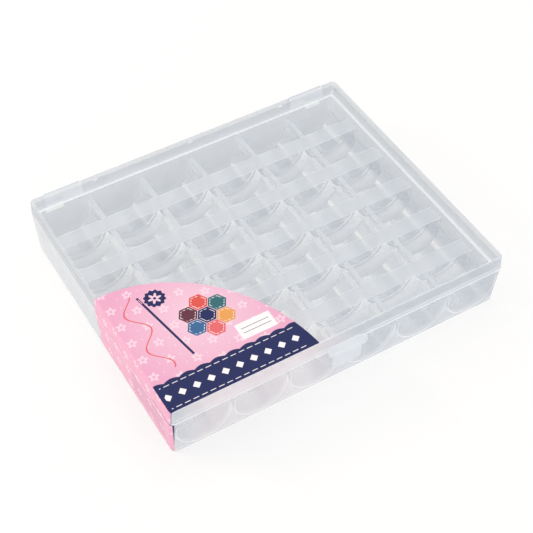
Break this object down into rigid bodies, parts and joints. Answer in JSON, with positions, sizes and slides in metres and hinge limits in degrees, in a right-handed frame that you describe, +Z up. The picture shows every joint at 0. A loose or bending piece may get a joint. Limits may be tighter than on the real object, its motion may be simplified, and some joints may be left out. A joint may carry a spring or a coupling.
{
  "type": "bobbin storage box",
  "caption": "Hinged see-through plastic box with rows of round-floored pockets that each hold one sewing machine bobbin, a front snap latch and a corner label.",
  "frame": {"origin": "on the table, under the middle of the closed box", "axes": "+X along the long side, to the right seen from the latch; +Y from the latch side to the hinge side; +Z up"},
  "size_m": [0.1501, 0.1332, 0.0273],
  "materials": {
    "clear_base": "milky see-through moulded polypropylene",
    "clear_lid": "milky see-through moulded polypropylene",
    "clear_latch": "milky see-through moulded polypropylene",
    "label_top": "printed self-adhesive film, satin",
    "label_side": "printed self-adhesive film, satin"
  },
  "bodies": {
    "base": {"base_tray": "clear_base", "label_base": "label_side"},
    "lid": {"lid": "clear_lid", "label_lid": "label_top"},
    "latch": {"latch_tab": "clear_latch"}
  },
  "joints": [
    {"name": "lid_hinge", "type": "hinge", "parent": "base", "child": "lid", "pos_m": [0, 0.0649, 0.02], "axis": [-1, 0, 0], "range_deg": [0, 180]},
    {"name": "latch_flex", "type": "hinge", "parent": "lid", "child": "latch", "pos_m": [0, -0.06295, 0.0219], "axis": [-1, 0, 0], "range_deg": [0, 20], "stiffness_Nm_per_rad": 0.005}
  ]
}
